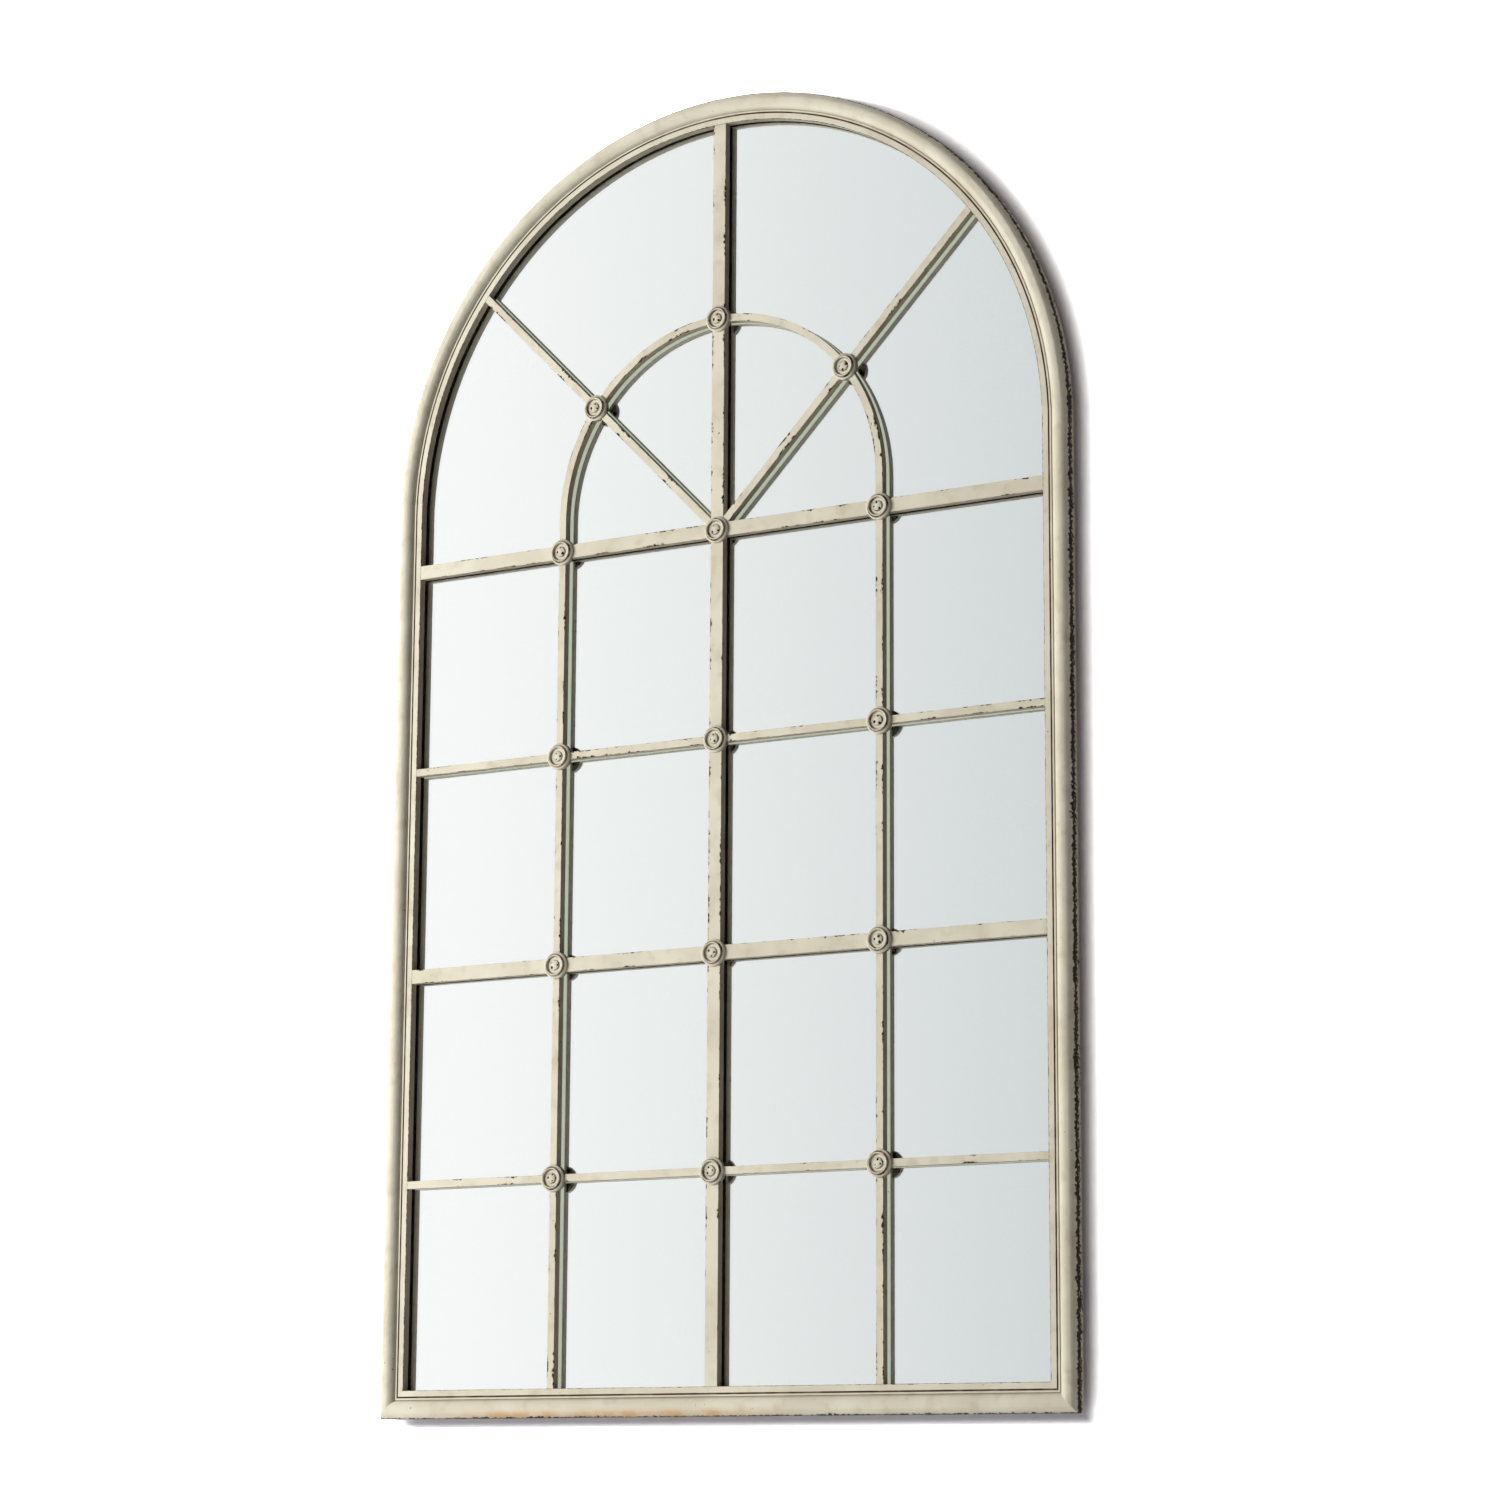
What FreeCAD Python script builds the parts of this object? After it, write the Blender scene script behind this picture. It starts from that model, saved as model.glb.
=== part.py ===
"""Arched window mirror: a painted metal window frame with glazing bars over one mirror.

Millimetres. X is to the viewer's right, Y runs back to the wall, Z is up.
The origin is at the bottom, in the middle of the width and of the depth.
Depths in the sizes below are counted from the front plane of the glazing bars.
"""
import FreeCAD
import Part
import math
import os

Vec = FreeCAD.Vector

# ---------------------------------------------------------------- overall
outer_width = 830.0          # over the frame moulding
outer_height = 1400.0        # foot of the bottom rail to the top of the arch
face_width = 30.0            # frame moulding, sight edge to outer edge
hub_drop = 64.0              # arch centre down to the springline bar
seam_rise = 15.0             # stiles run this far past the arch centre
pane_rows = 4                # rows of panes under the springline bar

# ---------------------------------------------------------------- frame moulding section
shell = 1.5                  # wall of the pressed moulding
fillet_depth = 2.2           # front plane to the back of the flat fillet
groove_one = 7.2             # sight edge to the middle of the first groove
groove_two = 10.4            # sight edge to the middle of the second groove
groove_half = 0.6            # half width of a groove
groove_depth = 1.1
roll_crest = 20.2            # sight edge to the crest of the roll
roll_rise = 5.5              # crest in front of the bars
roll_arcs = 3                # the roll is struck in this many arcs of one radius
side_depth = 10.0            # back edge of the moulding's outer side

# ---------------------------------------------------------------- glazing bars
bar_depth = 8.5
wide_bar = 15.0
slim_bar = 8.0
inner_arch_rise = 35.0       # springline bar up to the inner arch's centre
ray_angle = 45.0             # rays, from the horizontal

# ---------------------------------------------------------------- bosses over the crossings
boss_radius = 14.0
boss_rim_front = 0.6         # outer rim in front of the bars
boss_ring_radius = 10.6      # crest of the raised ring
boss_ring_front = 3.3
boss_dish_front = 1.3        # bottom of the dish inside the ring
boss_button_radius = 4.3     # raised button in the dish
boss_button_front = 3.0
boss_skirt = 4.0             # skirt behind the bars' front plane

# ---------------------------------------------------------------- mirror and its backing
tape_thickness = 0.8
tape_inset = 0.5             # tape kept back from a painted edge
tape_width = 7.5
glass_thickness = 4.0
silver_thickness = 0.2
board_thickness = 6.0
rebate_lap = 8.0             # glass behind the moulding, past the sight edge
glass_clearance = 1.0        # glass edge to the retaining band

# ---------------------------------------------------------------- retaining band and its lugs
band_thickness = 3.0
lug_thickness = 2.0
lug_reach = 11.0             # lug outwards from the band
lug_length = 18.0
pivot_reach = 5.5            # band's outer face to a turn button's stud

# ---------------------------------------------------------------- turn buttons
button_thickness = 2.0
button_width = 12.0
button_arm = 24.0            # pivot to tip
button_heel = 6.0            # pivot to the other end
button_corner = 3.0
button_gap = 0.2             # play under and over the button
stud_radius = 2.0
stud_play = 0.05             # stud to the button's hole
nut_flats = 7.0              # nut on the stud, across its flats
nut_height = 2.8
stile_button_heights = (220.0, 650.0)
arch_button_angle = 45.0

# ---------------------------------------------------------------- hangers
ring_wire = 3.0
ring_half_width = 7.5        # to the wire's centre line
ring_drop = 15.0             # hinge line to the far end of the ring
ring_tip_half = 5.0          # half width at the far end
hinge_play = 0.08            # wire to the loop
loop_strip = 1.5             # metal of the hanger loop
loop_width = 9.0
loop_length = 40.0           # hinge line to the loop's lower end
hanger_height = 930.0        # hinge line above the foot
hanger_reach = 1.5           # band's outer face to the ring's middle

# ---------------------------------------------------------------- wall bumpers
bumper_width = 11.0
bumper_length = 24.0
bumper_thickness = 7.0
bumper_reach = 4.0           # band's outer face to the bumper's middle
bumper_height = 120.0
arch_bumper_angle = 68.0

# ---------------------------------------------------------------- worked out
sight_half = outer_width / 2 - face_width
arch_z = outer_height - outer_width / 2
hub_z = arch_z - hub_drop
inner_arch_z = hub_z + inner_arch_rise
pane_width = (sight_half - wide_bar / 2 - slim_bar) / 2
side_bar_x = wide_bar / 2 + pane_width + slim_bar / 2
row_bars = (slim_bar, wide_bar, slim_bar)
roll_foot = groove_two + groove_half
roll_radius = ((roll_crest - roll_foot) ** 2 + roll_rise ** 2) / (2 * roll_rise)
pane_height = (hub_z - wide_bar / 2 - face_width - sum(row_bars)) / pane_rows

tape_back = bar_depth + tape_thickness
glass_back = tape_back + glass_thickness
board_front = glass_back + silver_thickness
board_back = board_front + board_thickness
band_inner = rebate_lap + glass_clearance
band_outer = band_inner + band_thickness
lug_front = board_back - lug_thickness
wall_plane = board_back + bumper_thickness
front_plane = roll_rise - (roll_rise + wall_plane) / 2   # bars' front, in the row's own Y

FAR = 3000.0


def box(x0, x1, y0, y1, z0, z1):
    return Part.makeBox(x1 - x0, y1 - y0, z1 - z0, Vec(x0, y0, z0))


def polygon(points):
    return Part.Face(Part.makePolygon(list(points) + [points[0]]))


def cylinder_y(radius, x, z, y0, y1):
    return Part.makeCylinder(radius, y1 - y0, Vec(x, y0, z), Vec(0, 1, 0))


def polar(angle, radius):
    """Point on a circle round the arch centre, angle from the +X side."""
    a = math.radians(angle)
    return radius * math.cos(a), arch_z + radius * math.sin(a)


# ---------------------------------------------------------------- arched outlines
def arched_plate(offset, y0, y1):
    """Plate with the window's outline, offset outwards from the sight edge."""
    half = sight_half + offset
    foot = face_width - offset
    corners = [Vec(-half, y0, arch_z), Vec(-half, y0, foot), Vec(half, y0, foot), Vec(half, y0, arch_z)]
    edges = [Part.makeLine(a, b) for a, b in zip(corners, corners[1:])]
    top = Part.Arc(corners[3], Vec(0, y0, arch_z + half), corners[0])
    outline = Part.Wire(edges + [top.toShape()])
    return Part.Face(outline).extrude(Vec(0, y1 - y0, 0))


def arched_ring(inner, outer, y0, y1):
    return arched_plate(outer, y0, y1).cut(arched_plate(inner, y0, y1))


# ---------------------------------------------------------------- frame moulding
def on_roll(u, wall):
    """Point of the roll's arc at u, a wall thickness inside its surface."""
    return u, roll_radius - roll_rise - math.sqrt((roll_radius - wall) ** 2 - (u - roll_crest) ** 2)


def moulding_section(place):
    """Face of the pressed moulding; place turns (u, depth) into a point."""
    front = [(band_inner, bar_depth), (0, bar_depth), (0, 0)]
    for middle in (groove_one, groove_two):
        front += [(middle - groove_half, 0), (middle, groove_depth), (middle + groove_half, 0)]
    step = (face_width - roll_foot) / (2 * roll_arcs)
    roll = [on_roll(roll_foot + step * i, 0) for i in range(2 * roll_arcs + 1)]

    hollow_side = face_width - shell
    hollow_foot = max(on_roll(roll_foot + shell, shell)[1], fillet_depth)
    back = [roll[-1], (face_width, side_depth), (hollow_side, side_depth)]
    back += [on_roll(hollow_side, shell), on_roll((hollow_side + roll_crest) / 2, shell)]
    back += [on_roll(roll_crest, shell), (roll_foot + shell, hollow_foot)]
    back += [(shell, fillet_depth), (shell, bar_depth - shell)]
    back += [(band_inner, bar_depth - shell), front[0]]

    def lines(points):
        ends = [place(*point) for point in points]
        return [Part.makeLine(a, b) for a, b in zip(ends, ends[1:])]

    def arcs(points):
        ends = [place(*point) for point in points]
        return [Part.Arc(*ends[i:i + 3]).toShape() for i in range(0, len(ends) - 2, 2)]

    return Part.Face(Part.Wire(lines(front) + arcs(roll) + lines(back)))


def frame_members():
    """Arch, two stiles and bottom rail, mitred at the foot and butted at the seams."""
    seam_z = arch_z + seam_rise
    band = arched_ring(band_inner, band_outer, fillet_depth, board_back)
    arch_face = moulding_section(lambda u, y: Vec(sight_half + u, y, arch_z))
    arch = arch_face.revolve(Vec(0, 0, arch_z), Vec(0, -1, 0), 180)
    arch = arch.cut(box(-FAR, FAR, -FAR, FAR, 0, seam_z))

    stile_face = moulding_section(lambda u, y: Vec(sight_half + u, y, 0))
    right = stile_face.extrude(Vec(0, 0, seam_z))
    rail_face = moulding_section(lambda u, y: Vec(-outer_width / 2, y, face_width - u))
    rail = rail_face.extrude(Vec(outer_width, 0, 0))

    corner = Vec(outer_width / 2, -FAR, 0)
    below_mitre = [corner, corner + Vec(-FAR, 0, FAR), corner + Vec(-FAR, 0, -FAR), corner + Vec(0, 0, -FAR)]
    wedge = polygon(below_mitre).extrude(Vec(0, 2 * FAR, 0))
    right = right.cut([wedge, band])
    left = right.mirror(Vec(0, 0, 0), Vec(1, 0, 0))
    rail = rail.common(wedge).common(wedge.mirror(Vec(0, 0, 0), Vec(1, 0, 0)))
    return {
        "frame_arch": arch,
        "frame_stile_left": left,
        "frame_stile_right": right,
        "frame_bottom_rail": rail,
    }


# ---------------------------------------------------------------- glazing bars
def upright(x, width, top):
    return box(x - width / 2, x + width / 2, 0, bar_depth, 0, top)


def crosspiece(z, width):
    return box(-FAR, FAR, 0, bar_depth, z - width / 2, z + width / 2)


def row_heights():
    """Middles of the cross bars under the springline, lowest first."""
    heights = []
    foot = face_width
    for width in row_bars:
        heights.append(foot + pane_height + width / 2)
        foot += pane_height + width
    return heights


def ray(side):
    """Bar from the hub towards the arch; side is -1 for the left one."""
    bar = box(0, FAR, 0, bar_depth, -slim_bar / 2, slim_bar / 2)
    turn = ray_angle if side > 0 else 180 - ray_angle
    bar.rotate(Vec(0, 0, 0), Vec(0, -1, 0), turn)
    bar.translate(Vec(0, 0, hub_z))
    return bar


def inner_arch():
    """Bent bar: a half ring on two short legs that stand on the springline bar."""
    leg_foot = hub_z + wide_bar / 2

    def half_disc(radius):
        disc = cylinder_y(radius, 0, inner_arch_z, 0, bar_depth)
        return disc.common(box(-FAR, FAR, 0, bar_depth, inner_arch_z, FAR))

    ring = half_disc(side_bar_x + slim_bar / 2).cut(half_disc(side_bar_x - slim_bar / 2))
    for x in (-side_bar_x, side_bar_x):
        leg = box(x - slim_bar / 2, x + slim_bar / 2, 0, bar_depth, leg_foot, inner_arch_z)
        ring = ring.fuse(leg)
    return ring.removeSplitter()


def whole_bars():
    """Every glazing bar at its full section, before the halved joints are cut."""
    sight = arched_plate(0, 0, bar_depth)
    spring_top = hub_z + wide_bar / 2
    lower, middle, upper = row_heights()
    centre = upright(0, wide_bar, FAR)
    spring = crosspiece(hub_z, wide_bar)
    bars = {
        "centre_bar": centre,
        "left_bar": upright(-side_bar_x, slim_bar, spring_top),
        "right_bar": upright(side_bar_x, slim_bar, spring_top),
        "springline_bar": spring,
        "upper_cross_bar": crosspiece(upper, row_bars[2]),
        "middle_cross_bar": crosspiece(middle, row_bars[1]),
        "lower_cross_bar": crosspiece(lower, row_bars[0]),
        "inner_arch": inner_arch(),
        "left_ray": ray(-1).cut([centre, spring]),
        "right_ray": ray(1).cut([centre, spring]),
    }
    return {name: bar.common(sight) for name, bar in bars.items()}


def halved_bars(whole):
    """Cross-halved joints: the first bar of a pair keeps the front half of the crossing."""
    pairs = [("centre_bar", "inner_arch"), ("left_ray", "inner_arch"), ("right_ray", "inner_arch")]
    for top in ("centre_bar", "left_bar", "right_bar"):
        for under in ("springline_bar", "upper_cross_bar", "middle_cross_bar", "lower_cross_bar"):
            pairs.append((top, under))
    front_half = box(-FAR, FAR, 0, bar_depth / 2, 0, FAR)
    back_half = box(-FAR, FAR, bar_depth / 2, bar_depth, 0, FAR)
    cut = dict(whole)
    for top, under in pairs:
        crossing = whole[top].common(whole[under])
        cut[top] = cut[top].cut(crossing.common(back_half))
        cut[under] = cut[under].cut(crossing.common(front_half))
    return cut


# ---------------------------------------------------------------- bosses
def boss(x, z, whole):
    """Cast boss: sloping rim, ring, dish and button, saddled over the bars that it covers."""
    profile = [
        Vec(0, boss_skirt, 0),
        Vec(boss_radius, boss_skirt, 0),
        Vec(boss_radius, -boss_rim_front, 0),
        Vec(boss_ring_radius, -boss_ring_front, 0),
        Vec(boss_button_radius, -boss_dish_front, 0),
        Vec(boss_button_radius, -boss_button_front, 0),
        Vec(0, -boss_button_front, 0),
    ]
    solid = polygon(profile).revolve(Vec(0, 0, 0), Vec(0, 1, 0), 360)
    solid.translate(Vec(x, 0, z))
    near = [bar for bar in whole.values() if bar.distToShape(Part.Vertex(x, 0, z))[0] < boss_radius]
    return solid.cut(near)


def boss_groups(whole):
    """Bosses of each bar, every crossing once."""
    rows = row_heights() + [hub_z]
    rise = math.radians(ray_angle)
    reach = inner_arch_rise * math.sin(rise)
    reach += math.sqrt(side_bar_x ** 2 - (inner_arch_rise * math.cos(rise)) ** 2)
    ray_x, ray_z = reach * math.cos(rise), hub_z + reach * math.sin(rise)
    places = {
        "left_bar_bosses": [(-side_bar_x, z) for z in rows],
        "centre_bar_bosses": [(0, z) for z in rows] + [(0, inner_arch_z + side_bar_x)],
        "right_bar_bosses": [(side_bar_x, z) for z in rows],
        "ray_bosses": [(-ray_x, ray_z), (ray_x, ray_z)],
    }
    return {name: Part.Compound([boss(x, z, whole) for x, z in spots]) for name, spots in places.items()}


# ---------------------------------------------------------------- mirror and its backing
def bar_tape(whole):
    """Cushion tape on the backs of the three wide bars."""
    keep = arched_plate(-tape_inset, bar_depth, tape_back)
    strips = None
    for name in ("centre_bar", "springline_bar", "middle_cross_bar"):
        b = whole[name].BoundBox
        upright_bar = b.ZLength > b.XLength
        dx, dz = (tape_inset, 0) if upright_bar else (0, tape_inset)
        strip = box(b.XMin + dx, b.XMax - dx, bar_depth, tape_back, b.ZMin + dz, b.ZMax - dz)
        strips = strip if strips is None else strips.fuse(strip)
    return strips.common(keep).removeSplitter()


def mirror_layers(whole):
    return {
        "rim_tape": arched_ring(tape_inset, tape_width, bar_depth, tape_back),
        "bar_tape": bar_tape(whole),
        "mirror_glass": arched_plate(rebate_lap, tape_back, glass_back),
        "mirror_silvering": arched_plate(rebate_lap, glass_back, board_front),
        "backing_board": arched_plate(rebate_lap, board_front, board_back),
        "retaining_band": arched_ring(band_inner, band_outer, fillet_depth, board_back),
    }


# ---------------------------------------------------------------- what sits on the band
def station(kind, value, side, reach):
    """Place on the band and the angle that points inwards there.

    kind is stile or arch, and value is a height or an angle.
    """
    out = band_outer + reach
    if kind == "stile":
        return side * (sight_half + out), value, 180 if side > 0 else 0
    angle = value if side > 0 else 180 - value
    x, z = polar(angle, sight_half + out)
    return x, z, angle + 180


def placed(solid, x, z, inward):
    """Turn a solid made with +X pointing inwards, and move it to its station."""
    solid.rotate(Vec(0, 0, 0), Vec(0, -1, 0), inward)
    solid.translate(Vec(x, 0, z))
    return solid


def lug(place, reach, length):
    """Tab welded to the band's outer face, its inner end shaped to the band."""
    inner = reach + band_thickness / 2
    outer = lug_reach - reach
    tab = box(-outer, inner, lug_front, board_back, -length / 2, length / 2)
    tab = placed(tab, *place)
    return tab.cut(arched_plate(band_outer, lug_front - 1, board_back + 1))


def button_stations():
    places = []
    for side in (-1, 1):
        for height in stile_button_heights:
            places.append(station("stile", height, side, pivot_reach))
        places.append(station("arch", arch_button_angle, side, pivot_reach))
    return places


def bumper_stations():
    places = []
    for side in (-1, 1):
        places.append(station("stile", bumper_height, side, bumper_reach))
        places.append(station("arch", arch_bumper_angle, side, bumper_reach))
    return places


def turn_button():
    """Flat button with clipped corners, its pivot at the origin and its arm along +X."""
    half = button_width / 2
    clip = button_corner
    y = board_back + button_gap
    outline = [
        Vec(-button_heel, y, -half + clip),
        Vec(-button_heel + clip, y, -half),
        Vec(button_arm - clip, y, -half),
        Vec(button_arm, y, -half + clip),
        Vec(button_arm, y, half - clip),
        Vec(button_arm - clip, y, half),
        Vec(-button_heel + clip, y, half),
        Vec(-button_heel, y, half - clip),
    ]
    plate = polygon(outline).extrude(Vec(0, button_thickness, 0))
    return plate.cut(cylinder_y(stud_radius + stud_play, 0, 0, 0, wall_plane))


def button_stud(x, z):
    """Stud welded to the lug, with a hexagon nut behind the button."""
    seat = board_back + 2 * button_gap + button_thickness
    shank = cylinder_y(stud_radius, x, z, board_back, seat)
    corner = nut_flats / math.sqrt(3)
    turns = [math.radians(60 * i) for i in range(6)]
    hexagon = [Vec(x + corner * math.cos(a), seat, z + corner * math.sin(a)) for a in turns]
    nut = polygon(hexagon).extrude(Vec(0, nut_height, 0))
    return shank.fuse(nut).removeSplitter()


def bumper(place):
    half_width, half_length = bumper_width / 2, bumper_length / 2
    pad = box(-half_width, half_width, board_back, wall_plane, -half_length, half_length)
    return placed(pad, *place)


def hanger_places():
    return [station("stile", hanger_height, side, hanger_reach)[:2] for side in (-1, 1)]


def hinge_depth():
    """Depth of the hanger ring's hinge line."""
    return board_back + loop_strip + ring_wire / 2 + hinge_play


def hanger_loop(x, z):
    """Strip folded round the ring's straight side and welded to the band and its lug."""
    hole = ring_wire / 2 + hinge_play
    y = hinge_depth()
    along = Vec(1, 0, 0)
    half = loop_width / 2
    start = Vec(x - half, y, z)
    strip = box(x - half, x + half, board_back, board_back + loop_strip, z - loop_length, z)
    eye = Part.makeCylinder(hole + loop_strip, loop_width, start, along)
    bore = Part.makeCylinder(hole, loop_width, start, along)
    return strip.fuse(eye).removeSplitter().cut(bore)


def hanger_lug(x, z):
    """Long tab beside the band, under the hanger loop's strip."""
    side = 1 if x > 0 else -1
    near = sight_half + band_outer
    far = near + lug_reach
    x0, x1 = sorted((side * near, side * far))
    return box(x0, x1, lug_front, board_back, z - loop_length, z + hanger_reach)


def hanger_ring(x, z):
    """Bent wire ring with mitred corners, hanging down from its straight side."""
    half, tip = ring_half_width, ring_tip_half
    corners = [(-half, 0), (half, 0), (tip, -ring_drop), (-tip, -ring_drop)]
    points = [Vec(x + cx, hinge_depth(), z + cz) for cx, cz in corners]
    count = len(points)
    runs = []
    for i, start in enumerate(points):
        end = points[(i + 1) % count]
        before = points[i - 1]
        after = points[(i + 2) % count]
        along = (end - start).normalize()
        overrun = along * ring_wire
        run = Part.makeCylinder(ring_wire / 2, (end - start).Length + 2 * ring_wire, start - overrun, along)
        run = run.cut(beyond(start, along, (start - before).normalize(), -1))
        run = run.cut(beyond(end, along, (after - end).normalize(), 1))
        runs.append(run)
    return runs[0].fuse(runs[1:]).removeSplitter()


def beyond(corner, along, other, sign):
    """Block past the mitre plane between a run and its neighbour at a corner."""
    normal = (along + other).normalize() * sign
    block = Part.makeBox(FAR / 10, FAR / 10, FAR / 10, Vec(-FAR / 20, -FAR / 20, 0))
    turn = FreeCAD.Rotation(Vec(0, 0, 1), normal)
    block.Placement = FreeCAD.Placement(corner, turn).multiply(block.Placement)
    return block


def back_fittings():
    """Everything that is fixed to the retaining band or turns on it."""
    buttons = button_stations()
    bumpers = bumper_stations()
    hangers = hanger_places()
    fittings = {
        "button_lugs": Part.Compound([lug(place, pivot_reach, lug_length) for place in buttons]),
        "button_studs": Part.Compound([button_stud(x, z) for x, z, _ in buttons]),
        "bumper_lugs": Part.Compound([lug(place, bumper_reach, bumper_length) for place in bumpers]),
        "wall_bumpers": Part.Compound([bumper(place) for place in bumpers]),
        "hanger_lugs": Part.Compound([hanger_lug(*place) for place in hangers]),
        "hanger_loops": Part.Compound([hanger_loop(*place) for place in hangers]),
        "hanger_ring_left": hanger_ring(*hangers[0]),
        "hanger_ring_right": hanger_ring(*hangers[1]),
    }
    for number, place in enumerate(buttons, 1):
        fittings[f"turn_button_{number}"] = placed(turn_button(), *place)
    return fittings


# ---------------------------------------------------------------- the whole mirror
def build():
    whole = whole_bars()
    parts = frame_members()
    parts.update(halved_bars(whole))
    parts.update(boss_groups(whole))
    parts.update(mirror_layers(whole))
    parts.update(back_fittings())
    return parts


os.makedirs("parts", exist_ok=True)
for name, shape in build().items():
    shape.translate(Vec(0, front_plane, 0))
    shape.exportStep(f"parts/{name}.step")
    print(f"{name}: {len(shape.Solids)} solid(s), valid {shape.isValid()}, {shape.Volume / 1000:.1f} cm3")
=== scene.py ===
"""Looks of the arched window mirror: camera, light, wall, paint, glass and the castings' fine form.

Everything is in metres in the row frame: +Z up, +X to the viewer's right, +Y back towards the wall.
"""
import math
import random

import bmesh
import bpy
from mathutils import Matrix, Vector, noise


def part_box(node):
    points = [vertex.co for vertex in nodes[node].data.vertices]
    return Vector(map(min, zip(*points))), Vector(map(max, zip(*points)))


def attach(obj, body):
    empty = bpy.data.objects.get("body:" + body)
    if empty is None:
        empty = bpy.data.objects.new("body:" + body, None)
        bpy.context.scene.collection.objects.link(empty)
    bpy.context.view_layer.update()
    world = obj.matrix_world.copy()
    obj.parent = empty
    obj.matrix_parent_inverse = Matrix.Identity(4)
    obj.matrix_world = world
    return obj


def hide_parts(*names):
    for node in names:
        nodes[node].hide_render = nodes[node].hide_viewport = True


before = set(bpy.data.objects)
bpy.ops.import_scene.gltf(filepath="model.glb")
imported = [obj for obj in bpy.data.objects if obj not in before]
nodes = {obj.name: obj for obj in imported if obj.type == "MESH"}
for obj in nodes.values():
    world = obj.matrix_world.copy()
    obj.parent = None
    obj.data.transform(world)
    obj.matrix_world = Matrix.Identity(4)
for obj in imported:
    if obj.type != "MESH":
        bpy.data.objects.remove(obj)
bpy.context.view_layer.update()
MM = 0.001

# ---------------------------------------------------------------- sizes shared with the solids
FRONT = -10.5 * MM              # front plane of the glazing bars
SIGHT = 385 * MM                # half the sight width
FACE = 30 * MM                  # width of the moulding
ARCH_Z = 985 * MM               # centre of the outer arch
HUB_Z = 921 * MM                # springline bar
INNER_ARCH_Z = 956 * MM
SIDE_BAR_X = 196.25 * MM
WIDE = 7.5 * MM                 # half a wide bar
SLIM = 4 * MM                   # half a slim bar
ROWS = (247.125 * MM, 471.75 * MM, 696.375 * MM, HUB_Z)
ARRIS_Y = -9.17 * MM            # outer arris of the moulding
WALL_Y = 16.2 * MM
GLASS_BACK = 2.8 * MM
SILVER_BACK = 3.0 * MM


# ---------------------------------------------------------------- node materials
class Finish:
    """Node tree of one material, with short calls for its nodes."""

    def __init__(self, name):
        self.material = bpy.data.materials.new(name)
        self.material.use_nodes = True
        self.tree = self.material.node_tree
        self.tree.nodes.clear()
        self.place = self.node("ShaderNodeTexCoord").outputs["Object"]
        split = self.node("ShaderNodeSeparateXYZ")
        self.link(split.inputs[0], self.place)
        self.x, self.y, self.z = split.outputs

    def node(self, kind, **settings):
        made = self.tree.nodes.new(kind)
        for name, value in settings.items():
            setattr(made, name, value)
        return made

    def link(self, socket, value):
        if isinstance(value, bpy.types.NodeSocket):
            self.tree.links.new(value, socket)
        elif isinstance(value, tuple) and len(value) == 3 and socket.type == "RGBA":
            socket.default_value = (*value, 1)
        else:
            socket.default_value = value

    def math(self, operation, *values):
        made = self.node("ShaderNodeMath", operation=operation)
        for socket, value in zip(made.inputs, values):
            self.link(socket, value)
        return made.outputs[0]

    def ramp(self, value, low, high, start=0.0, end=1.0):
        """start below low, end above high, and smooth between."""
        made = self.node("ShaderNodeMapRange", interpolation_type="SMOOTHSTEP")
        for socket, item in zip(made.inputs, (value, low, high, start, end)):
            self.link(socket, item)
        return made.outputs[0]

    def noise(self, scale, detail=3.0, stretch=(1, 1, 1), offset=0.0):
        moved = self.node("ShaderNodeMapping")
        self.link(moved.inputs["Vector"], self.place)
        moved.inputs["Scale"].default_value = stretch
        moved.inputs["Location"].default_value = (offset, offset, offset)
        made = self.node("ShaderNodeTexNoise")
        self.link(made.inputs["Vector"], moved.outputs[0])
        made.inputs["Scale"].default_value = scale
        made.inputs["Detail"].default_value = detail
        return made.outputs[0]

    def mix(self, factor, first, second):
        made = self.node("ShaderNodeMix", data_type="RGBA")
        self.link(made.inputs["Factor"], factor)
        self.link(made.inputs["A"], first)
        self.link(made.inputs["B"], second)
        return made.outputs["Result"]

    def bump(self, height, distance, strength=1.0):
        made = self.node("ShaderNodeBump")
        self.link(made.inputs["Height"], height)
        made.inputs["Distance"].default_value = distance
        made.inputs["Strength"].default_value = strength
        return made.outputs[0]

    def surface(self, **sockets):
        shader = self.node("ShaderNodeBsdfPrincipled")
        for name, value in sockets.items():
            self.link(shader.inputs[name.replace("_", " ")], value)
        self.finish(shader.outputs[0])
        return self.material

    def finish(self, shader):
        self.link(self.node("ShaderNodeOutputMaterial").inputs["Surface"], shader)


CREAM = (0.522, 0.478, 0.370)
PALE = (0.575, 0.540, 0.430)
TAN = (0.36, 0.285, 0.18)
GROOVE_BROWN = (0.075, 0.036, 0.022)
UMBER = (0.12, 0.068, 0.04)
IRON = (0.014, 0.010, 0.007)
RUST = (0.48, 0.27, 0.10)


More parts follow.
